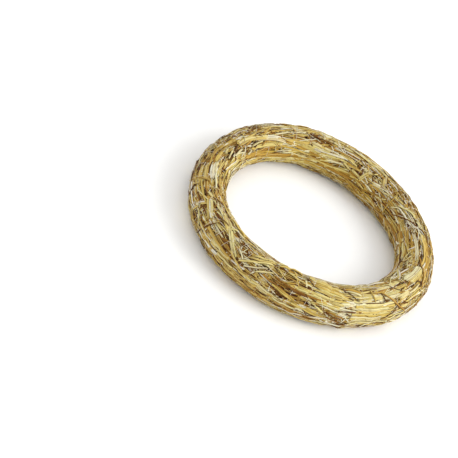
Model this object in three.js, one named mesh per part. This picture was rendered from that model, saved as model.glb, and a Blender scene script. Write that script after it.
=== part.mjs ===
// A straw wreath base: stalks laid lengthwise, pressed into a round bundle that closes on itself as a ring,
// and bound by one thread wound round and round the bundle. It lies flat on its underside.
// Millimetres, +Z up, with the origin at the middle of the ring, on the surface that it lies on.
import * as THREE from "three";

// Driving dimensions.
const RING_OUTER_DIAMETER = 300;
const BUNDLE_DIAMETER = 45;
const THREAD_TURNS = 46;
const THREAD_WIDTH = 0.7; // the flat side of the thread's three-sided section
const THREAD_THICKNESS = 0.6;
const THREAD_GAP = 0.3; // from the straw up to the thread
const THREAD_CLEARANCE = 0.05; // from the thread down to the surface that the ring lies on
const STRAND_COUNT = 12; // ridges of straw side by side round the bundle
const SWELL_ROWS = 2; // rows of full thickness between one turn of the thread and the next

// How far the surface stands off the bundle's mean radius.
const STRAND_HIGHEST = 1.3;
const STRAND_LOWEST = -0.5;
const FURROW_DEPTH = 1.4; // a furrow's depth below the lower of the two strands beside it
const BITTEN_STRAND = -0.9; // a strand where the thread draws it in
const BITTEN_FURROW = -1.8;
const SETTLE = 2.1; // how far the underside is pressed flat by the ring's weight

// A strand is made of runs of straw, one after another. Lengths in rows, slants in columns.
const SHORTEST_RUN = 4;
const LONGEST_RUN = 9;
const LARGEST_SLANT = 0.35;

// The ring is not quite round and the bundle not quite even. Each wave round the ring has its number
// of lobes, its height and the angle of its first crest.
const RING_WAVES = [
  { lobes: 2, height: 0.9, crest: 48 },
  { lobes: 3, height: 1.3, crest: -4 },
];
const BUNDLE_WAVES = [
  { lobes: 1, height: 0.6, crest: 32 },
  { lobes: 2, height: 0.8, crest: 99 },
];
// The turns lie closer together on two sides of the ring. Its height is a share of the mean pitch.
const PITCH_WAVE = { lobes: 2, height: 0.3, crest: 156 };

// Sizes worked out from those above.
const FULL_TURN = 2 * Math.PI;
const BUNDLE_RADIUS = BUNDLE_DIAMETER / 2;
const RING_RADIUS = RING_OUTER_DIAMETER / 2 - BUNDLE_RADIUS;
const ROWS_PER_TURN = 1 + SWELL_ROWS;
const ROWS = THREAD_TURNS * ROWS_PER_TURN;
const COLUMNS = 2 * STRAND_COUNT; // strands and furrows by turns
const THREAD_FOOT = BITTEN_STRAND + THREAD_GAP;
const THREAD_TOP = THREAD_FOOT + THREAD_THICKNESS;

// The same draw of numbers from 0 to 1 each time.
function randomFrom(seed) {
  let state = seed;
  return () => {
    state = (Math.imul(state, 1664525) + 1013904223) >>> 0;
    return state / 2 ** 32;
  };
}

function wavePhase(wave, angle) {
  return wave.lobes * (angle - THREE.MathUtils.degToRad(wave.crest));
}

function sumOfWaves(waves, angle) {
  return waves.reduce((sum, wave) => sum + wave.height * Math.cos(wavePhase(wave, angle)), 0);
}

// The angle round the ring, at a number of thread turns from the start.
function angleAtTurn(turn) {
  const even = (FULL_TURN * turn) / THREAD_TURNS;
  return even + (PITCH_WAVE.height / PITCH_WAVE.lobes) * Math.sin(wavePhase(PITCH_WAVE, even));
}

const isUnderThread = (row) => row % ROWS_PER_TURN === 0;

// The place of a point of the bundle or the thread. The rows lie along the thread's helix, so a row that
// has gone once round the bundle ends where the row one turn on begins. The underside is pressed flat,
// and under the thread it is pressed up by as much as leaves the thread clear.
function placeOf(row, column, standOff) {
  const angle = angleAtTurn(row / ROWS_PER_TURN + column / COLUMNS);
  const around = (FULL_TURN * column) / COLUMNS;
  const bundleRadius = BUNDLE_RADIUS + sumOfWaves(BUNDLE_WAVES, angle);
  const ringRadius = RING_RADIUS + sumOfWaves(RING_WAVES, angle);
  const out = ringRadius + (bundleRadius + standOff) * Math.cos(around);
  const up = bundleRadius - SETTLE + (bundleRadius + standOff) * Math.sin(around);
  const lowest = isUnderThread(row) ? THREAD_CLEARANCE + THREAD_TOP - standOff : 0;
  return new THREE.Vector3(out * Math.cos(angle), out * Math.sin(angle), Math.max(up, lowest));
}

// One strand, as the height and the sideways shift of its crest in each row.
function strandOfRuns(random) {
  const strand = new Array(ROWS);
  const start = Math.floor(random() * ROWS);
  let filled = 0;
  while (filled < ROWS) {
    const wanted = SHORTEST_RUN + Math.floor(random() * (LONGEST_RUN - SHORTEST_RUN + 1));
    const length = Math.min(wanted, ROWS - filled);
    const height = THREE.MathUtils.lerp(STRAND_LOWEST, STRAND_HIGHEST, random());
    const slant = THREE.MathUtils.lerp(-LARGEST_SLANT, LARGEST_SLANT, random());
    for (let step = 0; step < length; step++) {
      const shift = slant * ((2 * step + 1) / length - 1);
      strand[(start + filled + step) % ROWS] = { height, shift };
    }
    filled += length;
  }
  return strand;
}

// The two points of a strand in one row: its crest, and the furrow between it and the next strand.
function crestAndFurrow(row, column, here, next) {
  if (isUnderThread(row)) {
    return [placeOf(row, column, BITTEN_STRAND), placeOf(row, column + 1, BITTEN_FURROW)];
  }
  const furrow = Math.min(here.height, next.height) - FURROW_DEPTH;
  const furrowShift = (here.shift + next.shift) / 2;
  return [
    placeOf(row, column + here.shift, here.height),
    placeOf(row, column + 1 + furrowShift, furrow),
  ];
}

function bundlePoints() {
  const random = randomFrom(7);
  const strands = Array.from({ length: STRAND_COUNT }, () => strandOfRuns(random));
  const points = [];
  for (let row = 0; row < ROWS; row++) {
    strands.forEach((strand, number) => {
      const isLast = number === STRAND_COUNT - 1;
      const next = isLast ? strands[0][(row + ROWS_PER_TURN) % ROWS] : strands[number + 1][row];
      points.push(...crestAndFurrow(row, 2 * number, strand[row], next));
    });
  }
  return points;
}

function closedGeometry(points, triangles) {
  const geometry = new THREE.BufferGeometry().setFromPoints(points);
  geometry.setIndex(triangles.flat());
  geometry.computeVertexNormals();
  return geometry;
}

// The bundle's surface, which closes on itself both round the bundle and round the ring.
function strawBundleGeometry() {
  const indexOf = (row, column) => {
    const rowsOn = column < COLUMNS ? 0 : ROWS_PER_TURN;
    return ((row + rowsOn) % ROWS) * COLUMNS + (column % COLUMNS);
  };
  const triangles = [];
  for (let row = 0; row < ROWS; row++) {
    for (let column = 0; column < COLUMNS; column++) {
      const near = indexOf(row, column);
      const nearNext = indexOf(row, column + 1);
      const far = indexOf(row + 1, column);
      const farNext = indexOf(row + 1, column + 1);
      triangles.push([near, far, nearNext], [far, farNext, nearNext]);
    }
  }
  return closedGeometry(bundlePoints(), triangles);
}

// The thread's section at one strand: its two edges on the straw's side and its outer edge.
function threadSection(turn, strand) {
  const row = turn * ROWS_PER_TURN;
  const column = 2 * strand;
  const foot = placeOf(row, column, THREAD_FOOT);
  const along = placeOf(row + ROWS_PER_TURN, column, THREAD_FOOT).sub(foot).setLength(THREAD_WIDTH / 2);
  return [foot.clone().sub(along), foot.clone().add(along), placeOf(row, column, THREAD_TOP)];
}

// The thread runs straight from strand to strand, and its end is knotted to its start.
function bindingThreadGeometry() {
  const points = [];
  for (let turn = 0; turn < THREAD_TURNS; turn++) {
    for (let strand = 0; strand < STRAND_COUNT; strand++) {
      points.push(...threadSection(turn, strand));
    }
  }
  const triangles = [];
  for (let start = 0; start < points.length; start += 3) {
    for (let edge = 0; edge < 3; edge++) {
      const here = start + edge;
      const beside = start + ((edge + 1) % 3);
      const ahead = (here + 3) % points.length;
      const aheadBeside = (beside + 3) % points.length;
      triangles.push([here, ahead, beside], [beside, ahead, aheadBeside]);
    }
  }
  return closedGeometry(points, triangles);
}

function namedMesh(name, geometry, material) {
  const mesh = new THREE.Mesh(geometry, material);
  mesh.name = name;
  return mesh;
}

// The origin is under the middle of the ring's own box.
function centredOnTheGround(group) {
  const box = new THREE.Box3().setFromObject(group);
  const middle = box.getCenter(new THREE.Vector3());
  group.position.set(-middle.x, -middle.y, -box.min.z);
  return group;
}

const straw = new THREE.MeshStandardMaterial({ color: 0xb39962, roughness: 0.7, metalness: 0 });
const nylon = new THREE.MeshStandardMaterial({ color: 0xe9e3d5, roughness: 0.35, metalness: 0 });

const wreathBase = new THREE.Group();
wreathBase.add(namedMesh("straw_bundle", strawBundleGeometry(), straw));
wreathBase.add(namedMesh("binding_thread", bindingThreadGeometry(), nylon));

export default centredOnTheGround(wreathBase);
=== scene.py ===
"""A straw wreath base, lying on a pale floor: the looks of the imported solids.

Metres, +Z up. Every stalk is a thin closed mesh of its own, laid along the surface of the bundle
that the solids give, and one thread is wound round them all. An angle goes round the ring from +X
towards +Y. An "around" goes round the bundle's section: 0 faces out, a quarter turn faces up.
"""

import math

import bpy
import numpy as np
from mathutils import Matrix, Vector


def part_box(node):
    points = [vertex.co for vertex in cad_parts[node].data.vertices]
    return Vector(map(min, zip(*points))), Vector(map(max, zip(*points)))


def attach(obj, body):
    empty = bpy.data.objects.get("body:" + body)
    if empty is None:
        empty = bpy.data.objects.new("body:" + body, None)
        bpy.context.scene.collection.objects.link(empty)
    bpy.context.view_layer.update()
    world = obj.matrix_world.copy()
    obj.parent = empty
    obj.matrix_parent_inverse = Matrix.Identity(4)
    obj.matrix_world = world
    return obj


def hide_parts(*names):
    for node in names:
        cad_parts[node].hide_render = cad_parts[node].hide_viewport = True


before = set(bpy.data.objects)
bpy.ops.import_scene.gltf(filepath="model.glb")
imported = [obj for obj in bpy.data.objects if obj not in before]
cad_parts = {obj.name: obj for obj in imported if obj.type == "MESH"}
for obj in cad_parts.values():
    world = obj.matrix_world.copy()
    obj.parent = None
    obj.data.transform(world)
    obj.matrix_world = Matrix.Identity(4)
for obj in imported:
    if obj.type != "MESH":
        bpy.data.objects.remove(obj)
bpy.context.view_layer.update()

FULL_TURN = 2 * math.pi
MM = 0.001

# The same driving sizes as the solids'. A wave is its lobes round the ring, its height, and the
# angle of a crest in degrees. The pitch wave's height is a share of the thread's mean pitch.
RING_OUTER_DIAMETER = 300 * MM
BUNDLE_DIAMETER = 45 * MM
THREAD_TURNS = 46
SETTLE = 2.1 * MM
BITE = 0.9 * MM
RING_WAVES = ((2, 0.9 * MM, 48), (3, 1.3 * MM, -4))
BUNDLE_WAVES = ((1, 0.6 * MM, 32), (2, 0.8 * MM, 99))
PITCH_WAVE = (2, 0.3, 156)
BUNDLE_RADIUS = BUNDLE_DIAMETER / 2
RING_RADIUS = RING_OUTER_DIAMETER / 2 - BUNDLE_RADIUS

# The straw swells between two turns of the thread. Each turn pinches it over this share of the pitch.
SWELL = 1.2 * MM
PINCH_SHARE = 0.17
TOUCHING = 0.5 * MM  # how near the floor a stalk is that rests on it
THREAD_DIAMETER = 0.5 * MM
THREAD_PROUD = 0.15 * MM

# A ripple is its lobes round the ring and round the bundle, and its height: for the thread's path in
# turns of the thread, and for the lumps of the straw.
THREAD_WANDER = ((7, 2, 0.05), (19, -1, 0.04), (31, 3, 0.02))
LUMPS = (
    (3, 1, 0.3 * MM),
    (7, -2, 0.25 * MM),
    (12, 1, 0.25 * MM),
    (19, 2, 0.2 * MM),
    (29, -3, 0.15 * MM),
)
RIPPLE_START = (1.7, 0.9)  # for each of its lobes, so that ripples don't all start together

# Where the straw differs from place to place: the angle and the around of a patch's middle, its half
# length and half width, all in degrees, and how strong it is there. Rough straw is short bits that
# lie across each other.
ROUGH_PATCHES = (
    (8, -40, 14, 30, 0.8),
    (18, 138, 14, 22, 0.7),
    (38, 92, 16, 24, 0.9),
    (60, -20, 16, 30, 0.8),
    (66, 125, 16, 26, 1.0),
    (104, 98, 10, 20, 0.9),
    (118, -50, 18, 30, 0.8),
    (150, 84, 14, 20, 0.9),
    (164, 126, 12, 24, 0.8),
    (172, 55, 12, 24, 0.8),
    (176, -30, 14, 26, 0.8),
    (209, 88, 11, 26, 0.9),
    (220, 30, 9, 34, 0.9),
    (236, -70, 14, 26, 0.8),
    (247, 64, 8, 26, 0.9),
    (262, 66, 12, 30, 1.0),
    (298, 10, 9, 26, 1.0),
    (300, -60, 14, 26, 0.8),
    (354, 122, 10, 26, 1.0),
    (350, 40, 10, 24, 0.7),
)
# Here the strength is in steps of the straw's palette, and less than 0 is browner. Most are the straw's
# own tone, and a few are painted shadow, painted shade or painted light, as marked.
TONE_AND_PAINTED_LIGHT_PATCHES = (
    (5, 115, 9, 20, 1.1),
    (15, 60, 18, 20, -1.5),
    (30, 158, 30, 40, -1.3),
    (54, 106, 12, 26, 0.9),
    (82, 120, 10, 14, -1.4),
    (110, 180, 18, 28, 1.6),
    (130, 72, 22, 22, 1.1),
    (128, 140, 24, 20, 0.6),
    # Painted shadow: these three darken the left side's top and inner wall, where a cast shadow falls.
    (147, 204, 10, 16, -2.2),
    (164, 120, 22, 34, -1.3),
    (176, 156, 14, 20, -1.6),
    (195, 82, 11, 18, 1.2),
    # Painted shade: darker over the left outer wall, which faces away from the lamp.
    (220, 12, 24, 30, -1.1),
    (262, 18, 14, 24, -0.5),
    # Painted light: paler over the near side's inner top, which faces away from the lamp.
    (272, 112, 28, 16, 2.4),
    (274, 44, 10, 12, -1.3),
    (290, 80, 12, 34, 0.8),
    (318, 36, 20, 40, 1.3),
    (340, 102, 8, 16, 1.0),
    (352, 55, 12, 24, -0.6),
)
# Here it is how much less blue the straw reflects, and less than 0 is greyer.
YELLOW_PATCHES = (
    (25, 110, 34, 60, -0.12),
    (112, 178, 48, 34, 0.35),
    (150, 90, 20, 30, -0.15),
    (208, 45, 24, 60, -0.12),
    (250, 2, 16, 30, -0.35),
    (305, 60, 34, 50, 0.12),
)


# ---- the bundle's surface ----------------------------------------------------------------------


def wave(angle, lobes, height, crest):
    return height * np.cos(lobes * (angle - math.radians(crest)))


def sum_of_waves(waves, angle):
    return sum(wave(angle, *one) for one in waves)


def ripple(ripples, angle, around):
    """A sum of waves that run slantwise over the surface."""
    start, start_around = RIPPLE_START
    return sum(h * np.sin(m * angle + n * around + start * m + start_around * n) for m, n, h in ripples)


def from_middle(value, middle, half):
    """How many half sizes a value in radians lies from a middle in degrees, the short way round."""
    turned = (value - math.radians(middle) + math.pi) % FULL_TURN - math.pi
    return turned / math.radians(half)


def patches(table, angle, around):
    """The strengths of all the patches at a place, each fading out from its middle."""
    total = 0
    for middle, middle_around, half, half_around, strength in table:
        distance = from_middle(angle, middle, half) ** 2
        distance = distance + from_middle(around, middle_around, half_around) ** 2
        total = total + strength * np.exp(-distance)
    return total


def roughness(angle, around):
    """1 where short bits lie across the straw, 0 where it is long and smooth."""
    return np.clip(patches(ROUGH_PATCHES, angle, around), 0, 1)


def bundle_radius(angle):
    return BUNDLE_RADIUS + sum_of_waves(BUNDLE_WAVES, angle)


def ring_radius(angle):
    return RING_RADIUS + sum_of_waves(RING_WAVES, angle)


def angle_at_turn(turn):
    even = FULL_TURN * turn / THREAD_TURNS
    lobes, height, crest = PITCH_WAVE
    return even + height / lobes * np.sin(lobes * (even - math.radians(crest)))


# A table to look a turn up by its angle.
TABLE_ROWS = 2000
TURNS = np.linspace(0, THREAD_TURNS, TABLE_ROWS)
ANGLES_AT_TURNS = angle_at_turn(TURNS)
FIRST_ANGLE = ANGLES_AT_TURNS[0]


def turn_at_angle(angle):
    return np.interp((angle - FIRST_ANGLE) % FULL_TURN, ANGLES_AT_TURNS - FIRST_ANGLE, TURNS)


def pinch(angle, around):
    """1 under the thread, falling to 0 between two of its turns."""
    turns = turn_at_angle(angle) - around / FULL_TURN - ripple(THREAD_WANDER, angle, around)
    return np.exp(-(((turns - np.round(turns)) / PINCH_SHARE) ** 2))


def surface(angle, around):
    """How far the straw's top surface stands off the bundle's mean radius."""
    return -BITE + SWELL * (1 - pinch(angle, around)) + ripple(LUMPS, angle, around)


def settled(height, reach=SETTLE):
    """Straw lower than the reach is pressed together above the floor, and keeps its order."""
    low = np.minimum(height, reach)
    return np.where(height < reach, reach * np.exp((low - reach) / reach), height)


def place(angle, around, stand_off):
    """A point that far off the bundle's mean radius, and the direction out of the bundle there."""
    radius = bundle_radius(angle) + stand_off
    out = ring_radius(angle) + radius * np.cos(around)
    up = bundle_radius(angle) - SETTLE + radius * np.sin(around)
    point = np.stack([out * np.cos(angle), out * np.sin(angle), up], -1)
    normal = np.stack(
        [np.cos(around) * np.cos(angle), np.cos(around) * np.sin(angle), np.sin(around)], -1
    )
    return point, normal


RIM_POINTS = 720


def middle_of_the_ring():
    """The solids' box is centred on the origin, and the waves push the ring a little off its middle."""
    angle = np.linspace(0, FULL_TURN, RIM_POINTS)
    outermost = np.zeros(RIM_POINTS)
    rim, _ = place(angle, outermost, outermost)
    low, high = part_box("straw_bundle")
    middle = (np.array(low) + np.array(high)) / 2 - (rim.min(0) + rim.max(0)) / 2
    return np.array([middle[0], middle[1], 0.0])


MIDDLE = middle_of_the_ring()


# ---- meshes ------------------------------------------------------------------------------------

CELL_FILL = 0.9  # of its cell in the bake's map, so that stalks don't run into each other
CELL_LENGTH = 6  # times its width
EDGE_CLOSENESS = 0.55  # a power: the smaller, the closer a section's points lie to its edges

# A stalk follows the surface for the most part, and its ends bend down into the straw or up off it.
END_CURL = 3  # a power: the larger, the nearer to the ends they bend
PINCHED_DEPTH = 0.5  # how much less deep it lies under the thread
WOBBLE_ANGLE = 9  # over its length, in radians
WOBBLE_START = 40  # times its seed

# Its width varies along it, and narrows towards a pointed end.
WIDTH_WAVE = 0.1
WIDTH_ANGLE = 7
WIDTH_START = 50
POINT_ROUNDNESS = 0.6  # a power: the smaller, the blunter the point
END_HEIGHT = 0.35  # how much of its height an end keeps


def quad_mesh(name, points, quads, material, tint, grain, cell_uv):
    """A mesh object of quads, with each point's colour and its place on its stalk."""
    points, tint, grain = (values.reshape(-1, 3) for values in (points, tint, grain))
    mesh = bpy.data.meshes.new(name)
    mesh.vertices.add(len(points))
    mesh.vertices.foreach_set("co", points.astype(np.float32).ravel())
    mesh.loops.add(quads.size)
    mesh.loops.foreach_set("vertex_index", quads.astype(np.int32).ravel())
    mesh.polygons.add(len(quads))
    mesh.polygons.foreach_set("loop_start", np.arange(0, quads.size, 4, dtype=np.int32))
    mesh.polygons.foreach_set("use_smooth", np.ones(len(quads), bool))
    mesh.update(calc_edges=True)
    colour = np.column_stack([tint, np.ones(len(tint))]).astype(np.float32)
    mesh.attributes.new("tint", "FLOAT_COLOR", "POINT").data.foreach_set("color", colour.ravel())
    place_on_stalk = mesh.attributes.new("grain", "FLOAT_VECTOR", "POINT")
    place_on_stalk.data.foreach_set("vector", grain.astype(np.float32).ravel())
    bake = mesh.uv_layers.new(name="OFBake")
    bake.data.foreach_set("uv", cell_uv.astype(np.float32).ravel())
    mesh.materials.append(material)
    made = bpy.data.objects.new(name, mesh)
    bpy.context.scene.collection.objects.link(made)
    return made


def finish_piece(piece, node):
    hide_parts(node)
    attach(piece, "root")
    return piece


def unit(vectors):
    return vectors / np.maximum(np.linalg.norm(vectors, axis=-1, keepdims=True), 1e-12)


def running_sum(values, along):
    """The integral along each row, measured from the row's middle."""
    whole = np.cumsum((values[:, 1:] + values[:, :-1]) / 2 * np.diff(along, axis=1), axis=1)
    whole = np.column_stack([np.zeros(len(values)), whole])
    return whole - whole[:, [values.shape[1] // 2]]


def stalk_paths(stalks, steps):
    """Each stalk's middle line over the surface, the directions along, out and across there, and how
    far along it each step lies, as a share and in metres from its middle."""
    share = np.sin(np.linspace(-math.pi / 2, math.pi / 2, steps))[None, :] / 2
    along = share * stalks["length"][:, None]
    heading = stalks["heading"][:, None] + stalks["bow"][:, None] * share
    around = stalks["around"][:, None] + running_sum(np.sin(heading) / BUNDLE_RADIUS, along)
    out_to_there = RING_RADIUS + BUNDLE_RADIUS * np.cos(around)
    angle = stalks["angle"][:, None] + running_sum(np.cos(heading) / out_to_there, along)
    stiff = stalks["stiff"][:, None] * (along * np.sin(heading)) ** 2 / (2 * BUNDLE_RADIUS)
    first = np.clip(-share * 2, 0, 1) ** END_CURL * stalks["first_lift"][:, None]
    last = np.clip(share * 2, 0, 1) ** END_CURL * stalks["last_lift"][:, None]
    depth = stalks["depth"][:, None] * (1 - PINCHED_DEPTH * pinch(angle, around))
    phase = WOBBLE_ANGLE * share + WOBBLE_START * stalks["seed"][:, None]
    wobble = stalks["wobble"][:, None] * np.sin(phase)
    stand_off = surface(angle, around) - depth + stiff + first + last + wobble
    point, out = place(angle, around, stand_off)
    point = point + MIDDLE
    point[..., 2] = settled(point[..., 2])
    forward = unit(np.gradient(point, axis=1))
    side = unit(np.cross(out, forward))
    out = np.cross(forward, side)
    turn = stalks["roll"][:, None] + stalks["twist"][:, None] * share
    cos, sin = np.cos(turn)[..., None], np.sin(turn)[..., None]
    return point, forward, cos * out - sin * side, cos * side + sin * out, share, along


def stalk_points(stalks, steps, across):
    """The points of all the stalks: stalk by stalk, ring by ring, side by side."""
    point, forward, out, side, share, along = stalk_paths(stalks, steps)
    from_end = (0.5 - np.abs(share)) * 2 / stalks["taper"][:, None]
    pointed = np.clip(from_end, 0, 1) ** POINT_ROUNDNESS
    half = stalks["width"][:, None] / 2
    wavy = 1 + WIDTH_WAVE * np.sin(WIDTH_ANGLE * share + WIDTH_START * stalks["seed"][:, None])
    sideways = (half * wavy * np.maximum(pointed, stalks["blunt"][:, None]))[..., None] * across
    upward = (half * np.maximum(pointed, END_HEIGHT))[..., None] * stalks["heights"][:, None, :]
    hugging = np.cos(stalks["heading"])[:, None, None] ** 2 / (2 * BUNDLE_RADIUS)
    upward = upward - hugging * sideways**2
    points = point[:, :, None, :] + sideways[..., None] * side[:, :, None, :]
    points = points + upward[..., None] * out[:, :, None, :]
    ragged = np.zeros((1, steps, 1, 1))
    ragged[0, 0], ragged[0, -1] = -1, 1
    points = points + stalks["tear"][:, None, :, None] * ragged * forward[:, :, None, :]
    points[..., 2] = settled(points[..., 2], TOUCHING)
    return points, along


def stalk_quads(count, steps, sides):
    """The quads of one stalk's sides and its two ends, repeated for every stalk."""
    ring, side = np.meshgrid(np.arange(steps - 1), np.arange(sides), indexing="ij")
    ring, side = ring.ravel(), side.ravel()
    beside = (side + 1) % sides
    shell = np.stack([side, beside, beside, side], -1)
    rows = np.stack([ring, ring, ring + 1, ring + 1], -1)
    beneath = sides - 1
    end = np.array([[left, beneath, left + 2, left + 1] for left in range(0, beneath - 2, 2)])
    first, last = np.zeros_like(end), np.full_like(end, steps - 1)
    corners = np.concatenate([shell, end, end[:, ::-1]])
    rows = np.concatenate([rows, first, last])
    shift = np.arange(count)[:, None, None] * steps * sides
    quads = (rows * sides + corners)[None] + shift
    unfolded = np.concatenate([np.stack([side, side + 1, side + 1, side], -1), end, end[:, ::-1]])
    return quads.reshape(-1, 4), unfolded, rows


def cell_map(count, steps, sides, unfolded, rows):
    """Every stalk unfolded into a cell of its own."""
    columns = max(1, round(math.sqrt(count / CELL_LENGTH)))
    lines = math.ceil(count / columns)
    number = np.arange(count)
    corner = np.stack([(number % columns) / columns, (number // columns) / lines], -1)
    u = rows / (steps - 1) * CELL_FILL / columns
    v = unfolded / sides * CELL_FILL / lines
    return (corner[:, None, None, :] + np.stack([u, v], -1)[None]).reshape(-1, 2)


def top_of_section(points):
    """Where the points over a stalk's top lie, in half widths. Those beside the edges lie close to them."""
    even = np.linspace(-1, 1, points)
    return np.sign(even) * np.abs(even) ** EDGE_CLOSENESS


# Straw is painted darker and browner at its edges, as painted shade in the gaps between stalks with a
# little weathering, and beneath, as painted shade under it. It is also darker at its cut ends.
EDGE_WEAR_AND_PAINTED_SHADE = np.array([0.34, 0.24, 0.14])
BENEATH_PAINTED_SHADE = np.array([0.5, 0.34, 0.18])
END_DARKENING = np.array([0.84, 0.72, 0.52])


# Multipliers for each point of a stalk: painted shade at its edges and beneath, darker cut ends.
def wear_and_painted_shade(steps, sides):
    shade = np.ones((steps, sides, 3))
    shade[:, 0] *= EDGE_WEAR_AND_PAINTED_SHADE
    shade[:, -2] *= EDGE_WEAR_AND_PAINTED_SHADE
    shade[:, -1] *= BENEATH_PAINTED_SHADE
    shade[0] *= END_DARKENING
    shade[-1] *= END_DARKENING
    return shade


def stalk_piece(name, stalks, steps, material):
    """One piece of the dressed part, holding many stalks."""
    count, sides = stalks["heights"].shape
    across = np.append(top_of_section(sides - 1), 0.0)
    points, along = stalk_points(stalks, steps, across)
    quads, unfolded, rows = stalk_quads(count, steps, sides)
    shape = (count, steps, sides)
    half = stalks["width"][:, None, None] / 2
    grain = np.stack(
        [
            np.broadcast_to(half * across, shape),
            np.broadcast_to(along[:, :, None], shape),
            np.broadcast_to(stalks["seed"][:, None, None], shape),
        ],
        -1,
    )
    # The stalk's colour, with painted shade at its edges and beneath, and darker cut ends.
    tint = stalks["tint"][:, None, None, :] * wear_and_painted_shade(steps, sides)[None]
    uv = cell_map(count, steps, sides, unfolded, rows)
    piece = quad_mesh(name, points, quads, material, tint, grain, uv)
    return finish_piece(piece, "straw_bundle")


# ---- colours -----------------------------------------------------------------------------------


def linear(red, green, blue):
    """A colour given as it looks on a screen, from 0 to 255, as the light that it reflects."""
    share = np.array([red, green, blue]) / 255
    return np.where(share <= 0.04045, share / 12.92, ((share + 0.055) / 1.055) ** 2.4)


# From the dark of old, damp straw to the near white of the newest. A stalk's tone is a place in it.
PALETTE = np.array(
    [
        linear(52, 26, 8),
        linear(98, 60, 22),
        linear(141, 99, 36),
        linear(169, 130, 54),
        linear(192, 160, 74),
        linear(207, 184, 99),
        linear(219, 211, 149),
        linear(233, 234, 214),
    ]
)
BROWN = PALETTE[1]
DARK = PALETTE[0]
PALE = PALETTE[6]

# Straw that lies deeper is browner, by this many tones a mm: partly older straw, partly painted shade,
# as deeper straw lies in shade. Straw from one sheaf lies together, so its tone drifts round the ring.
DEEPER_AGE_AND_SHADE = 1.5
ROTTEN_TONE = 2.0  # what is darker has no clean cut ends
TONE_DRIFT = ((2, 1, 0.2), (5, -1, 0.5), (11, 1, 0.6), (17, -2, 0.5), (31, 5, 0.4))

# Of stalks of one tone, some are yellower and some ruddier. A yellower one reflects less blue and a
# little less green, a ruddier one less green and a little more red.
YELLOW = (0.08, 0.2)  # least and most
RUDDY = (0.02, 0.012)  # mean and spread
YELLOW_IN_GREEN = 0.12
REFLECTED = (0.005, 0.95)


def spread(rng, count, low, high):
    return rng.uniform(low, high, count)


def tints(rng, angle, around, tone):
    """The colour of each stalk, from its tone and its place."""
    count = len(angle)
    tone = np.clip(tone, 0, len(PALETTE) - 1)
    colour = [np.interp(tone, np.arange(len(PALETTE)), PALETTE[:, band]) for band in range(3)]
    yellow = patches(YELLOW_PATCHES, angle, around) + spread(rng, count, *YELLOW)
    ruddy = rng.normal(*RUDDY, count)
    less = np.stack([-ruddy / 2, ruddy + YELLOW_IN_GREEN * yellow, yellow], -1)
    return np.clip(np.stack(colour, -1) * np.exp(-less), *REFLECTED)


# ---- laying the straw --------------------------------------------------------------------------

# A stalk's section: the points over its top, and its least and greatest thickness in half widths.
# The shoulders are powers that shape its sides.
STALK_POINTS = 5
ROUND_THICKNESS = (0.5, 0.9)
ROUND_SHOULDER = 0.6
ROUND_BENEATH = 0.5  # of its thickness
FLAT_THICKNESS = (0.14, 0.28)
FLAT_SHOULDER = 6
FLAT_BENEATH = 0.12
CREASE = (-0.2, 0.6)  # of its thickness, and less than 0 is a ridge
SHEATH_POINTS = 9
SHEATH_THINNESS = 0.5  # of a flattened stalk's thickness
SHEATH_RIB = 0.05


def round_heights(rng, count):
    """The heights over a round stalk's edges, in half widths: over its top, and one beneath."""
    across = top_of_section(STALK_POINTS)
    middle = spread(rng, count, *ROUND_THICKNESS)[:, None]
    return np.column_stack([middle * (1 - across**2) ** ROUND_SHOULDER, -ROUND_BENEATH * middle])


def flat_heights(rng, count, points=STALK_POINTS):
    """A flattened stalk, many with a crease down the middle."""
    across = top_of_section(points)
    thick = spread(rng, count, *FLAT_THICKNESS)[:, None]
    crease = spread(rng, count, *CREASE)[:, None]
    top = thick * (1 - across**FLAT_SHOULDER) * (1 - crease * (1 - np.abs(across)))
    return np.column_stack([top, np.full(count, -FLAT_BENEATH)])


def sheath_heights(rng, count):
    """A broad, thin leaf sheath with ribs along it."""
    heights = flat_heights(rng, count, SHEATH_POINTS) * SHEATH_THINNESS
    heights[:, 1:-2] += rng.uniform(-SHEATH_RIB, SHEATH_RIB, (count, SHEATH_POINTS - 2))
    return heights


HEIGHTS = {"round": round_heights, "flat": flat_heights, "sheath": sheath_heights}

# How stalks differ from each other: a mean and a spread, in degrees or mm.
BOW = (0, 8)
ROLL = (0, 7)
TWIST = (0, 16)
END_LIFT = (-0.35, 0.35)

# And these by a least and a most.
STIFFNESS = (0.0, 0.3)  # how straight it stays where it lies over the bundle's curve
WOBBLE = (-0.1, 0.1)  # mm
TEAR = (-0.7, 0.7)  # how far an end is torn, in mm
TAPER = (0.06, 0.3)  # of half its length
CUT_BLUNTNESS = (0.8, 1.0)  # of its width
BROKEN_BLUNTNESS = (0.1, 0.6)
CUT_SHARE = 0.7  # of the stalks that aren't rotten

# Strewn straw.
TRIES = 6  # places tried for each stalk
ROUGH_PULL = 0.7  # how much less of it lies in places of the other kind, rough or smooth
SMOOTH_CROSSING = 0.6  # how much of the crossing straw crosses where the bundle is smooth
SHORTNESS = 1.6  # a power: the larger, the more of the stalks are short
NARROWNESS = 1.4
CROSSING_CUT = 0.6  # how much shorter straw is that lies straight across the ring

# Chosen straw. A broad stalk is laid as strips that overlap, slide past each other and differ in tone.
WIDEST_STRIP = 3.2  # mm
STRIP_OVERLAP = 1.15  # times its width
STRIP_SLIDE = 1.5  # mm
STRIP_TONE = 0.55
DEPTH_SPREAD = (-0.3, 0.3)  # mm


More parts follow.
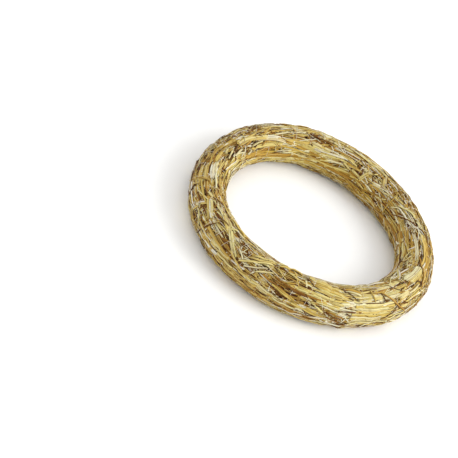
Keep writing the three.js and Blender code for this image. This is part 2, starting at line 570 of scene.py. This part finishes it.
def with_traits(rng, stalks, section, tone):
    """Stalks whose places and sizes are given, with each its own shape and colour."""
    count = len(stalks["angle"])
    heights = HEIGHTS[section](rng, count)
    cut = (rng.uniform(0, 1, count) < CUT_SHARE) & (tone > ROTTEN_TONE)
    stalks.update(
        {
            "heights": heights,
            "bow": np.radians(rng.normal(*BOW, count)),
            "stiff": spread(rng, count, *STIFFNESS),
            "first_lift": rng.normal(*END_LIFT, count) * MM,
            "last_lift": rng.normal(*END_LIFT, count) * MM,
            "wobble": spread(rng, count, *WOBBLE) * MM,
            "roll": np.radians(rng.normal(*ROLL, count)),
            "twist": np.radians(rng.normal(*TWIST, count)),
            "taper": spread(rng, count, *TAPER),
            "blunt": np.where(
                cut, spread(rng, count, *CUT_BLUNTNESS), spread(rng, count, *BROKEN_BLUNTNESS)
            ),
            "tear": rng.uniform(*TEAR, heights.shape) * MM,
            "seed": spread(rng, count, 0, 1),
            "tint": tints(rng, stalks["angle"], stalks["around"], tone),
        }
    )
    return stalks


def strewn_places(rng, count, where):
    """Places strewn evenly over the bundle, or mostly or only over its rough or its smooth parts."""
    tries = count * TRIES
    angle = spread(rng, tries, 0, FULL_TURN)
    around = spread(rng, tries, 0, FULL_TURN)
    fair = (RING_RADIUS + BUNDLE_RADIUS * np.cos(around)) / (RING_RADIUS + BUNDLE_RADIUS)
    rough = roughness(angle, around)
    wanted = {
        "anywhere": 1.0,
        "rough": 1 - ROUGH_PULL * (1 - rough),
        "roughest": rough**2,
        "smooth": 1 - ROUGH_PULL * rough,
    }[where]
    kept = np.flatnonzero(rng.uniform(0, 1, tries) < fair * wanted)[:count]
    return angle[kept], around[kept]


def strewn(rng, count, section, where, length, width, depth, stray, tone):
    """Lengths, widths and depths are (lowest, highest) in mm. The stray is how far the headings stray
    from the ring's direction: (usually, when crossing, the share crossing). The tone is (mean, spread)."""
    angle, around = strewn_places(rng, count, where)
    count = len(angle)
    usually, when_crossing, share_crossing = stray
    share_there = share_crossing * (SMOOTH_CROSSING + roughness(angle, around))
    crossing = rng.uniform(0, 1, count) < share_there
    heading = np.radians(rng.normal(0, 1, count) * np.where(crossing, when_crossing, usually))
    lengths = length[0] + (length[1] - length[0]) * rng.uniform(0, 1, count) ** SHORTNESS
    widths = width[0] + (width[1] - width[0]) * rng.uniform(0, 1, count) ** NARROWNESS
    stalks = {
        "angle": angle,
        "around": around,
        "heading": heading,
        "length": lengths * (1 - CROSSING_CUT * np.abs(np.sin(heading))) * MM,
        "width": widths * MM,
        "depth": spread(rng, count, *depth) * MM,
    }
    tones = rng.normal(*tone, count) + ripple(TONE_DRIFT, angle, around)
    # Deeper straw is darker: partly older straw, partly painted shade.
    tones = tones + patches(TONE_AND_PAINTED_LIGHT_PATCHES, angle, around) - DEEPER_AGE_AND_SHADE * stalks["depth"] / MM
    return with_traits(rng, stalks, section, tones)


def side_by_side(rng, rows):
    """The rows of a list, where each that is wider than one strip becomes several, and how far each
    of them lies aside from its row, in mm."""
    counts = np.ceil(rows[:, 4] / WIDEST_STRIP).astype(int)
    repeated = np.repeat(rows, counts, axis=0)
    of_how_many = np.repeat(counts, counts)
    number = np.concatenate([np.arange(count) for count in counts])
    width = repeated[:, 4] / of_how_many
    repeated[:, 4] = width * np.where(of_how_many > 1, STRIP_OVERLAP, 1.0)
    repeated[:, 5] += rng.normal(0, STRIP_TONE, len(width)) * (of_how_many > 1)
    return repeated, (number - (of_how_many - 1) / 2) * width


def chosen(rng, rows, section, depth):
    """The stalks of a list, each from one place to another."""
    rows, aside = side_by_side(rng, np.array(rows, float))
    first, first_around, last, last_around = np.radians(rows[:, :4]).T
    around = (first_around + last_around) / 2
    out_to_there = RING_RADIUS + BUNDLE_RADIUS * np.cos(around)
    forward = (last - first) * out_to_there
    across = (last_around - first_around) * BUNDLE_RADIUS
    heading = np.arctan2(across, forward)
    slid = rng.normal(0, STRIP_SLIDE, len(rows)) * (aside != 0)
    moved_along = (slid * np.cos(heading) - aside * np.sin(heading)) * MM
    moved_around = (slid * np.sin(heading) + aside * np.cos(heading)) * MM
    stalks = {
        "angle": (first + last) / 2 + moved_along / out_to_there,
        "around": around + moved_around / BUNDLE_RADIUS,
        "heading": heading,
        "length": np.hypot(across, forward),
        "width": rows[:, 4] * MM,
        "depth": (depth + spread(rng, len(rows), *DEPTH_SPREAD)) * MM,
    }
    return with_traits(rng, stalks, section, rows[:, 5])


# ---- materials ---------------------------------------------------------------------------------

# The Mix node has several sockets of each name. These are its factor, its two colours, and the
# colour that it gives.
MIX_FACTOR = 0
MIX_FIRST = 6
MIX_SECOND = 7
MIX_COLOUR = 2


class Nodes:
    """Short calls for building a material's node tree."""

    def __init__(self, name):
        self.material = bpy.data.materials.new(name)
        self.material.use_nodes = True
        self.tree = self.material.node_tree
        self.shader = self.tree.nodes["Principled BSDF"]

    def add(self, kind, **settings):
        node = self.tree.nodes.new(kind)
        for name, value in settings.items():
            setattr(node, name, value)
        return node

    def link(self, source, target):
        self.tree.links.new(source, target)

    def noise(self, coordinates, scale=1.0, detail=3.0, roughness=0.55):
        node = self.add("ShaderNodeTexNoise")
        node.inputs["Scale"].default_value = scale
        node.inputs["Detail"].default_value = detail
        node.inputs["Roughness"].default_value = roughness
        self.link(coordinates, node.inputs["Vector"])
        return node.outputs["Fac"]

    def stretched(self, coordinates, scales):
        node = self.add("ShaderNodeVectorMath", operation="MULTIPLY")
        node.inputs[1].default_value = scales
        self.link(coordinates, node.inputs[0])
        return node.outputs["Vector"]

    def ranged(self, value, from_range, to_range):
        node = self.add("ShaderNodeMapRange")
        node.inputs["From Min"].default_value, node.inputs["From Max"].default_value = from_range
        node.inputs["To Min"].default_value, node.inputs["To Max"].default_value = to_range
        self.link(value, node.inputs["Value"])
        return node.outputs["Result"]

    def mixed(self, factor, first, second, blend="MIX"):
        node = self.add("ShaderNodeMix", data_type="RGBA", blend_type=blend)
        for socket, value in ((MIX_FACTOR, factor), (MIX_FIRST, first), (MIX_SECOND, second)):
            if isinstance(value, (tuple, float)):
                node.inputs[socket].default_value = value
            else:
                self.link(value, node.inputs[socket])
        return node.outputs[MIX_COLOUR]


def rgba(colour):
    return (*[float(part) for part in colour], 1.0)


# How fine the patterns are: waves a metre across a stalk and along it, and how they differ from one
# stalk to the next.
FIBRES = (5200.0, 70.0, 900.0)
STREAKS = (800.0, 24.0, 900.0)
BLOTCHES = (260.0, 130.0, 700.0)
SPECKS = (1500.0, 700.0, 500.0)
THREAD_MOTTLE = (400.0, 600.0, 1.0)
FLOOR_MOTTLE = 30.0
MIDDLING = (0.3, 0.7)  # the range that most values of a pattern lie in

# How rough the surfaces are where their pattern is low and where it is high, and their other looks.
STRAW_ROUGHNESS = (0.55, 0.38)
STRAW_GLOSS = 0.1
FIBRE_BUMP = 0.6
FIBRE_DEPTH = 0.12 * MM
THREAD_ROUGHNESS = (0.22, 0.38)
THREAD_COLOURS = (linear(184, 168, 140), linear(222, 210, 188))
FLOOR_ROUGHNESS = 0.9
FLOOR_COLOURS = (linear(244, 244, 243), linear(248, 248, 247))


def straw_material():
    """Dry straw: fibres and streaks along the stalk, brown weathering in patches, a faint gloss."""
    nodes = Nodes("dry_straw")
    # Each point's tint holds its stalk's colour, with painted shade at the stalk's edges and beneath.
    tint = nodes.add("ShaderNodeAttribute", attribute_name="tint").outputs["Color"]
    grain = nodes.add("ShaderNodeAttribute", attribute_name="grain").outputs["Vector"]
    fibres = nodes.noise(nodes.stretched(grain, FIBRES))
    streaks = nodes.noise(nodes.stretched(grain, STREAKS))
    blotches = nodes.noise(nodes.stretched(grain, BLOTCHES), detail=4.0, roughness=0.65)
    specks = nodes.noise(nodes.stretched(grain, SPECKS), detail=2.0)
    # Coats over the tint, one after the other: a pattern, two of its values, how much the coat covers
    # at each of them, and the coat's colour.
    coats = (
        (fibres, MIDDLING, (0.45, 0.0), BROWN),
        (streaks, (0.46, 0.33), (0.0, 0.8), BROWN),
        (streaks, (0.56, 0.7), (0.0, 0.55), PALE),
        (blotches, (0.56, 0.8), (0.0, 0.6), BROWN),
        (specks, (0.66, 0.8), (0.0, 0.7), DARK),
    )
    colour = tint
    for pattern, values, cover, over in coats:
        colour = nodes.mixed(nodes.ranged(pattern, values, cover), colour, rgba(over))
    nodes.link(colour, nodes.shader.inputs["Base Color"])
    nodes.link(nodes.ranged(fibres, MIDDLING, STRAW_ROUGHNESS), nodes.shader.inputs["Roughness"])
    nodes.shader.inputs["Specular IOR Level"].default_value = STRAW_GLOSS
    bump = nodes.add("ShaderNodeBump")
    bump.inputs["Strength"].default_value = FIBRE_BUMP
    bump.inputs["Distance"].default_value = FIBRE_DEPTH
    nodes.link(fibres, bump.inputs["Height"])
    nodes.link(bump.outputs["Normal"], nodes.shader.inputs["Normal"])
    return nodes.material


def thread_material():
    """Clear nylon, which shows as a fine whitish line."""
    nodes = Nodes("clear_nylon_thread")
    grain = nodes.add("ShaderNodeAttribute", attribute_name="grain").outputs["Vector"]
    mottle = nodes.noise(nodes.stretched(grain, THREAD_MOTTLE), detail=2.0)
    darker, lighter = THREAD_COLOURS
    nodes.link(nodes.mixed(mottle, rgba(darker), rgba(lighter)), nodes.shader.inputs["Base Color"])
    nodes.link(nodes.ranged(mottle, MIDDLING, THREAD_ROUGHNESS), nodes.shader.inputs["Roughness"])
    return nodes.material


def floor_material():
    nodes = Nodes("pale_floor")
    where = nodes.add("ShaderNodeTexCoord").outputs["Object"]
    mottle = nodes.noise(where, scale=FLOOR_MOTTLE, detail=2.0)
    darker, lighter = FLOOR_COLOURS
    nodes.link(nodes.mixed(mottle, rgba(darker), rgba(lighter)), nodes.shader.inputs["Base Color"])
    nodes.shader.inputs["Roughness"].default_value = FLOOR_ROUGHNESS
    return nodes.material


# ---- the pieces --------------------------------------------------------------------------------

# The core has ridges along it that sway from side to side, and is painted darker than brown straw, as
# the shade in the gaps between the stalks.
CORE_DEPTH = 3.4 * MM
CORE_ROWS = 300
CORE_COLUMNS = 40
CORE_SEED = 0.5
CORE_PAINTED_SHADE = 0.7
RIDGES = 16
RIDGE_HEIGHT = 0.35 * MM
RIDGE_SWAY = 3  # in radians of a ridge
RIDGE_SWAYS = 5  # in one turn round the ring

THREAD_STATIONS = 40  # for each turn
THREAD_SIDES = 6


def closed_grid(rows, columns):
    """The quads between rows and columns of points that both close on themselves."""
    row, column = np.meshgrid(np.arange(rows), np.arange(columns), indexing="ij")
    next_row, next_column = (row + 1) % rows, (column + 1) % columns
    corners = ((row, column), (next_row, column), (next_row, next_column), (row, next_column))
    return row, column, np.stack([r * columns + c for r, c in corners], -1).reshape(-1, 4)


def core_piece(material):
    """The pressed mass that shows between the stalks: brown straw painted darker, as painted shade in the
    gaps.
    """
    row, column, quads = closed_grid(CORE_ROWS, CORE_COLUMNS)
    angle, around = FULL_TURN * row / CORE_ROWS, FULL_TURN * column / CORE_COLUMNS
    sway = RIDGE_SWAY * np.sin(angle * RIDGE_SWAYS)
    ridges = np.sin(around * RIDGES + sway) * RIDGE_HEIGHT
    point, _ = place(angle, around, surface(angle, around) - CORE_DEPTH + ridges)
    point = point + MIDDLE
    point[..., 2] = settled(point[..., 2])
    u = np.stack([row, row + 1, row + 1, row], -1) / CORE_ROWS
    v = np.stack([column, column, column + 1, column + 1], -1) / CORE_COLUMNS
    uv = np.stack([u, v], -1).reshape(-1, 2)
    seed = np.full(angle.shape, CORE_SEED)
    grain = np.stack([BUNDLE_RADIUS * around, RING_RADIUS * angle, seed], -1)
    # Brown straw, darkened as painted shade.
    tint = np.broadcast_to(BROWN * CORE_PAINTED_SHADE, point.shape)
    piece = quad_mesh("pressed_straw_core", point, quads, material, tint, grain, uv)
    return finish_piece(piece, "straw_bundle")


def thread_piece(material):
    """The thread, wound round the straw until it meets its own start."""
    count = THREAD_TURNS * THREAD_STATIONS
    station, edge, quads = closed_grid(count, THREAD_SIDES)
    turn = np.arange(count) / THREAD_STATIONS
    around = FULL_TURN * (turn % 1.0)
    angle = angle_at_turn(turn)
    angle = angle_at_turn(turn + ripple(THREAD_WANDER, angle, around))
    radius = THREAD_DIAMETER / 2
    point, out = place(angle, around, surface(angle, around) + THREAD_PROUD + radius)
    point = point + MIDDLE
    point[:, 2] = settled(point[:, 2])
    forward = unit(np.roll(point, -1, 0) - np.roll(point, 1, 0))
    side = unit(np.cross(out, forward))
    out = np.cross(forward, side)
    spoke = (np.arange(THREAD_SIDES) * FULL_TURN / THREAD_SIDES)[None, :, None]
    section = side[:, None] * np.cos(spoke) - out[:, None] * np.sin(spoke)
    points = point[:, None] + radius * section
    in_turn = station % THREAD_STATIONS
    u = np.stack([in_turn, in_turn + 1, in_turn + 1, in_turn], -1) / THREAD_STATIONS
    across = np.stack([edge, edge, edge + 1, edge + 1], -1) / THREAD_SIDES * CELL_FILL
    v = (across + (station // THREAD_STATIONS)[..., None]) / THREAD_TURNS
    grain = np.stack(
        [
            radius * FULL_TURN * edge / THREAD_SIDES,
            BUNDLE_RADIUS * FULL_TURN * station / THREAD_STATIONS,
            np.zeros(station.shape),
        ],
        -1,
    )
    tint = np.ones(points.shape)
    uv = np.stack([u, v], -1).reshape(-1, 2)
    piece = quad_mesh("binding_thread_wound", points, quads, material, tint, grain, uv)
    return finish_piece(piece, "binding_thread")


# Each layer: its name, how many stalks at most, their steps along, their section and where they lie.
# Then their lengths, widths and depths, how they stray and their tone, as strewn() takes them.
LAYERS = (
    ("straw_under_layer", 700, 7, "round", "anywhere",
     (30, 90), (3.0, 5.0), (2.4, 3.6), (9, 25, 0.1), (4.8, 1.0)),
    ("straw_stalks_inner", 1450, 7, "round", "anywhere",
     (20, 75), (1.4, 3.8), (1.2, 2.6), (9, 30, 0.2), (5.2, 1.5)),
    ("straw_leaf_sheaths", 440, 12, "sheath", "smooth",
     (30, 100), (2.4, 5.6), (0.3, 1.3), (7, 20, 0.1), (6.2, 0.7)),
    ("straw_stalks_outer", 2300, 7, "round", "smooth",
     (14, 70), (1.0, 2.7), (0.0, 1.7), (8, 32, 0.25), (6.2, 1.7)),
    ("straw_thin_stems", 1800, 7, "round", "rough",
     (10, 50), (0.6, 1.2), (-0.1, 0.9), (12, 45, 0.5), (5.8, 2.2)),
    # Thin dark stems laid among the others: painted shade for the shadow gaps between stalks.
    ("straw_dark_stems", 1000, 7, "round", "anywhere",
     (8, 32), (0.7, 1.2), (0.0, 0.6), (9, 30, 0.25), (0.8, 0.7)),
    ("straw_chaff", 4200, 4, "flat", "rough",
     (3, 14), (0.6, 2.2), (0.0, 1.2), (20, 50, 0.6), (5.4, 2.6)),
    ("straw_tangled_bits", 560, 5, "round", "roughest",
     (8, 26), (0.8, 1.5), (-0.7, 0.2), (25, 60, 0.8), (5.2, 2.4)),
)

# Single stalks that stand out: from one angle and around, in degrees, to another, then
# the width in mm and the tone. Near is towards -Y, where the camera stands, and right is towards +X.
BROAD_ONES = (
    # Near right: the top and the outer wall.
    (281, 112, 297, 94, 7, 5.6),
    (282, 96, 300, 78, 8, 5.4),
    (283, 80, 299, 66, 7, 5.8),
    (281, 60, 298, 50, 5, 5.6),
    (275, 62, 291, 54, 5, 5.2),
    (286, 44, 299, 38, 4, 5.7),
    (300, 102, 309, 86, 8, 5.2),
    (305.5, 68, 313, 69, 7, 6.3),
    (314.5, 73, 320, 73, 5.5, 6.1),
    (299.5, 54, 303.5, 53, 5.5, 6.7),
    (305, 50, 327, 46, 6, 6.1),
    (304, 37, 326, 35, 5, 5.8),
    (304, 26, 325, 24, 4.5, 5.9),
    (303, 13, 326, 15, 5, 6.1),
    (321, 72, 332, 74, 6, 5.9),
    (331, 60, 343, 64, 5, 5.6),
    (334, 44, 345, 50, 4, 5.7),
    (342, 92, 357, 86, 9, 6.0),
    (342, 80, 354, 77, 5, 5.7),
    # Near side: the outer wall.
    (276, 20, 289, 9, 5, 5.4),
    (246, -2, 261, 2, 6, 4.5),
    (247, 12, 262, 13, 5, 5.1),
    (258, 16, 272, 2, 4.5, 5.9),
    (248, -17, 268, -10, 5, 3.6),
    (228, 6, 246, -6, 5, 4.0),
    (230, 20, 246, 15, 4, 5.1),
    (270, -8, 290, -14, 5, 3.2),
    # Left: the top and the outer wall.
    (236, 76, 247, 34, 4.5, 5.7),
    (187, 84, 201, 87, 8, 6.4),
    (190, 50, 204, 44, 4, 5.1),
    (189, 64, 201, 66, 4, 4.8),
    (214.5, 70, 225.5, 50, 6.5, 5.9),
    (214, 36, 216, 58, 4.5, 5.8),
    (226, 92, 237.5, 71, 6, 5.3),
    # Far left and far side: the top and the inner wall.
    (162, 90, 190, 48, 4.5, 4.8),
    (178, 84, 187, 82, 4, 5.9),
    (162, 102, 136, 116, 5.5, 5.8),
    (146, 112, 118, 138, 6, 5.9),
    (126, 134, 98, 160, 6, 5.0),
    (111, 127, 98, 132, 5, 6.3),
    (133, 128, 112, 134, 4, 5.9),
    (172, 142, 140, 168, 5, 4.5),
    (150, 172, 115, 180, 6, 3.9),
    (120, 188, 92, 186, 6, 3.8),
    (102, 176, 74, 168, 6, 3.3),
    (81, 157, 62, 160, 4.5, 3.5),
    (143, 104, 136, 82, 3.5, 4.2),
    # Far right.
    (74, 158, 72, 126, 4, 5.2),
    (66, 139, 60, 131, 4, 6.4),
    (64, 96, 60, 118, 4, 5.8),
    (68, 74, 58, 70, 3.5, 5.8),
    # Right: the top and the inner wall.
    (31, 92, 26, 84, 3.6, 6.1),
    (23, 116, -1, 103, 3.4, 6.3),
    (22, 92, 8, 84, 3, 5.9),
    (20, 84, -4, 78, 6, 4.2),
    (12, 74, -10, 66, 5, 3.9),
    (58, 186, 28, 190, 8, 2.9),
    (40, 170, 14, 168, 6, 2.6),
    (31, 152, 15, 156, 6, 2.8),
    (27, 132, 13, 140, 5, 3.2),
    (18, 146, 2, 151, 3.6, 5.1),
)
# Those of tone below 2 are thin dark stalks: partly dark straw, partly painted shade for the shadow gaps
# between stalks.
NARROW_ONES = (
    # Near right: the top and the outer wall.
    (277, 103, 286, 71, 1.3, 0.1),
    (289, 113, 294, 96, 0.8, 1.2),
    (299, 94, 305, 62, 1.2, 0.4),
    (304, 103, 309, 88, 0.9, 0.6),
    (305, 58, 320, 57.5, 0.9, 0.6),
    (319.6, 83, 320.6, 56, 1.3, 1.0),
    (313.6, 93, 314.4, 58, 1.7, 4.9),
    (300.5, 69, 303, 63, 1.4, 0.4),
    (305, 70, 305.6, 60, 1.5, 0.4),
    (298.4, 44, 299.6, 41, 1.4, 0.3),
    (306, 43, 323, 41, 2.4, 6.3),
    (303, 20, 319, 18, 2.0, 6.5),
    (303, 2, 324, 5, 2.2, 6.2),
    (321, 81, 333, 12, 2.2, 3.2),
    (328, 99, 333.5, 70, 1.0, 0.6),
    (319, 12, 330, 44, 1.3, 0.5),
    (322, 7, 333, 16, 1.9, 6.0),
    (338, 57, 346, 62, 2.5, 6.3),
    (346, 72, 348.5, 58, 1.5, 0.5),
    (339, 112, 349, 141, 3.4, 6.5),
    (362, 97, 345, 42, 1.8, 3.3),
    (361, 141, 368, 123, 1.2, 6.0),
    (359, 140, 363, 116, 1.3, 6.2),
    (357, 118, 363, 137, 1.1, 5.6),
    (354, 142, 358, 112, 1.2, 5.9),
    (352, 118, 359, 130, 1.4, 6.1),
    (355, 134, 359, 130, 1.6, 0.4),
    (351, 132, 354, 126, 1.7, 0.3),
    (349, 126, 351, 118, 1.6, 0.3),
    # Near side: the outer wall.
    (240, 10, 249, 9, 3.0, 5.5),
    (268, 4, 279, 2, 2.2, 6.2),
    (238, -9, 246, -14, 1.2, 0.5),
    (246, 17, 256, 7, 1.0, 0.8),
    (250, 3, 263, 7, 1.0, 1.2),
    (255, -6, 264, -9, 1.2, 1.0),
    (267, -8, 276, -14, 1.2, 0.8),
    # Near side: a tangle on the top.
    (249, 42, 262, 90, 2.4, 5.8),
    (252, 36, 261, 67, 2.2, 6.5),
    (257, 44, 264, 67, 2.0, 6.1),
    (253, 76, 266, 113, 3.0, 5.6),
    (251, 60, 263, 94, 2.6, 5.4),
    (256, 84, 268, 117, 2.6, 5.9),
    (250, 52, 258, 64, 1.6, 6.6),
    (264, 94, 273, 119, 2.6, 5.2),
    (267, 110, 277, 112, 4.0, 4.9),
    (245, 62, 250, 46, 1.8, 6.6),
    (264, 82, 270, 63, 1.3, 5.6),
    (269, 89, 275, 80, 1.8, 5.5),
    (262, 82, 264.5, 73, 1.4, 0.3),
    (253, 45, 256, 39, 1.3, 0.8),
    (265, 57, 275, 49, 1.6, 1.9),
    (264, 51, 274, 42, 1.4, 0.8),
    (263, 45, 272, 37, 1.6, 1.7),
    (266, 48, 272, 43, 1.1, 3.2),
    (266, 39, 276, 24, 3.6, 5.1),
    (264, 34, 272, 21, 1.4, 0.5),
    # Near right: the outer wall.
    (280, 49, 283, 33, 1.5, 0.3),
    (280.5, 43, 283.5, 31, 1.2, 6.2),
    (289, 31, 291, 9, 1.5, 1.1),
    (291, 25, 300, 12, 1.8, 2.6),
    (291, 19, 299, 7, 1.4, 1.2),
    (292, 8, 299, -4, 1.5, 1.6),
    (297, -13, 303, 1, 1.6, 0.4),
    (300, 27, 303.5, 19, 1.6, 0.7),
    (296, 31, 305, 34, 1.4, 1.0),
    # Left.
    (196, 94, 207, 97, 2.4, 6.5),
    (199, 45, 202.5, 83, 2.6, 5.0),
    (202, 29, 203, 47, 2.4, 5.3),
    (205, 0, 202.3, 38, 2.0, 0.3),
    (209, 62, 212, 64, 1.8, 0.3),
    (203, 103, 206.5, 112, 1.8, 1.7),
    (212, 78, 221, 108, 1.1, 0.7),
    (210, 70, 213.5, 81, 3.0, 5.9),
    (214.5, 2, 215.5, 33, 2.0, 5.2),
    (217, 45, 222, 45, 1.8, 0.8),
    (217, 14, 219, 23, 1.5, 0.5),
    (223, 11, 216, 31, 1.7, 5.9),
    (224.5, -19, 226, 17, 1.6, 0.3),
    (226, 17, 229, 64, 1.6, 0.9),
    (226.5, 77, 233, 83, 1.3, 1.0),
    (234, 83, 236.5, 100, 2.6, 5.8),
    (229, 33, 247, 23, 3.0, 4.5),
    (228, 109, 242, 113, 3.0, 5.0),
    (184, 57, 190, 43, 1.2, 0.5),
    # Far left: a tangle on the top.
    (170, 123, 160, 137, 1.8, 6.4),
    (177.5, 113, 170.5, 106, 2.4, 6.2),
    (176.5, 96, 172.5, 92, 2.4, 5.9),
    (171, 124, 162.5, 120, 2.4, 6.4),
    (174, 121, 171, 119, 2.6, 6.8),
    (172, 131, 166.5, 126, 1.6, 6.0),
    (177, 125, 173.5, 124, 1.8, 6.0),
    (168, 143, 162.5, 148, 2.2, 6.0),
    (159, 147, 155, 138, 2.6, 6.5),
    (169, 112, 165, 104, 3.2, 0.5),
    (162, 142, 159, 134, 1.8, 0.4),
    (178, 118, 175, 114, 1.6, 0.6),
    (158.5, 118, 154, 113, 2.6, 3.4),
    (152.5, 134, 150, 130, 2.2, 0.4),
    (154, 128, 144.5, 123, 2.4, 6.2),
    (146, 136, 142, 124, 1.8, 3.2),
    (186, 28, 180, 36, 2.2, 6.4),
    (151, 76, 147, 84, 1.5, 0.8),
    (166, 50, 159, 62, 1.5, 0.4),
    (148, 95, 141, 101, 1.4, 0.6),
    # Far side.
    (112, 99, 106, 107, 2, 1.1),
    (104, 104, 98, 112, 1.8, 1.5),
    (111.6, 129, 110.4, 134, 1.5, 0.2),
    (88, 142, 83, 149, 2.4, 5.9),
    (81, 147, 75, 151, 3.0, 5.9),
    (86, 128, 80, 131, 2.6, 5.7),
    (80, 164, 74, 159, 2.6, 5.3),
    # Far right and right: another tangle.
    (67.5, 153, 66, 126, 1.6, 0.7),
    (76, 128, 74.5, 141, 1.5, 0.9),
    (60, 133, 52, 121, 1.8, 6.6),
    (56.5, 137, 53, 125, 1.7, 6.1),
    (58, 161, 51, 142, 1.5, 6.1),
    (47, 172, 50, 111, 1.8, 4.4),
    (50, 118, 43, 108, 3.2, 5.3),
    (43, 120, 33, 86, 2.6, 5.7),
    (45.5, 143, 41, 119, 2.0, 6.1),
    (49, 127, 45, 119, 1.6, 0.7),
    (50, 80, 46, 76, 1.6, 0.4),
    (38, 96, 34, 92, 1.5, 0.6),
    (45, 171, 26, 90, 1.4, 1.4),
    (35.5, 123, 30.5, 113, 1.4, 6.1),
    (26, 90, 14, 65, 1.4, 1.7),
    (80, 173, 66, 178, 1.1, 0.7),
)


STREWN_SEED = 11
CHOSEN_SEED = 4

# The chosen ones lie over the strewn ones, the narrow over the broad: their depths in mm, less than 0
# being above the surface, and their steps along.
BROAD_DEPTH = -0.4
BROAD_STEPS = 14
NARROW_DEPTH = -0.9
NARROW_STEPS = 12


def straw_pieces(material):
    rng = np.random.default_rng(STREWN_SEED)
    for name, count, steps, *laid in LAYERS:
        stalk_piece(name, strewn(rng, count, *laid), steps, material)
    rng = np.random.default_rng(CHOSEN_SEED)
    broad = chosen(rng, BROAD_ONES, "sheath", BROAD_DEPTH)
    stalk_piece("straw_broad_ones", broad, BROAD_STEPS, material)
    narrow = chosen(rng, NARROW_ONES, "round", NARROW_DEPTH)
    stalk_piece("straw_narrow_ones", narrow, NARROW_STEPS, material)


# ---- the studio --------------------------------------------------------------------------------

# Where the camera stands to the ring's middle, in degrees and metres, its lens in mm, and where the
# ring's middle lies in the picture, as shares of its width from the middle of the picture.
CAMERA_ELEVATION = 39.8
CAMERA_ROLL = 28.6
CAMERA_DISTANCE = 1.479
LENS = 102.2
SENSOR = 36.0
RING_RIGHT = 0.182
RING_UP = 0.017

# A large lamp low at the right, in metres and watts, and a white sky.
KEY_PLACE = (3.3, 0.1, 1.9)
KEY_SIZE = 3.6
KEY_POWER = 118
SKY_STRENGTH = 1.05
WHITE = (1.0, 1.0, 1.0, 1.0)
FLOOR_HALF = 6.0


def add_camera():
    elevation, roll = math.radians(CAMERA_ELEVATION), math.radians(CAMERA_ROLL)
    forward = Vector((0, math.cos(elevation), -math.sin(elevation)))
    level_right = Vector((1, 0, 0))
    level_up = level_right.cross(forward)
    right = math.cos(roll) * level_right + math.sin(roll) * level_up
    up = math.cos(roll) * level_up - math.sin(roll) * level_right
    ring_middle = Vector(MIDDLE) + Vector((0, 0, BUNDLE_RADIUS - SETTLE))
    picture_width = CAMERA_DISTANCE * SENSOR / LENS
    aside = picture_width * (RING_RIGHT * right + RING_UP * up)
    stand = ring_middle - CAMERA_DISTANCE * forward - aside
    data = bpy.data.cameras.new("camera")
    data.lens = LENS
    data.sensor_width = SENSOR
    camera = bpy.data.objects.new("camera", data)
    turned = Matrix((right, up, -forward)).transposed().to_4x4()
    camera.matrix_world = Matrix.Translation(stand) @ turned
    bpy.context.scene.collection.objects.link(camera)
    bpy.context.scene.camera = camera


def add_floor():
    mesh = bpy.data.meshes.new("floor")
    signs = ((-1, -1), (1, -1), (1, 1), (-1, 1))
    corners = [(x * FLOOR_HALF, y * FLOOR_HALF, 0) for x, y in signs]
    mesh.from_pydata(corners, [], [(0, 1, 2, 3)])
    mesh.materials.append(floor_material())
    floor = bpy.data.objects.new("floor", mesh)
    bpy.context.scene.collection.objects.link(floor)


def add_light(name, stand, size, power):
    data = bpy.data.lights.new(name, "AREA")
    data.shape = "DISK"
    data.size = size
    data.energy = power
    light = bpy.data.objects.new(name, data)
    light.location = stand
    light.rotation_euler = Vector(stand).to_track_quat("Z", "Y").to_euler()
    bpy.context.scene.collection.objects.link(light)


def add_studio():
    world = bpy.data.worlds.new("studio")
    world.use_nodes = True
    background = world.node_tree.nodes["Background"]
    background.inputs["Color"].default_value = WHITE
    background.inputs["Strength"].default_value = SKY_STRENGTH
    bpy.context.scene.world = world
    bpy.context.scene.view_settings.view_transform = "Standard"
    add_light("key", KEY_PLACE, KEY_SIZE, KEY_POWER)


add_camera()
add_floor()
add_studio()
straw = straw_material()
core_piece(straw)
straw_pieces(straw)
thread_piece(thread_material())
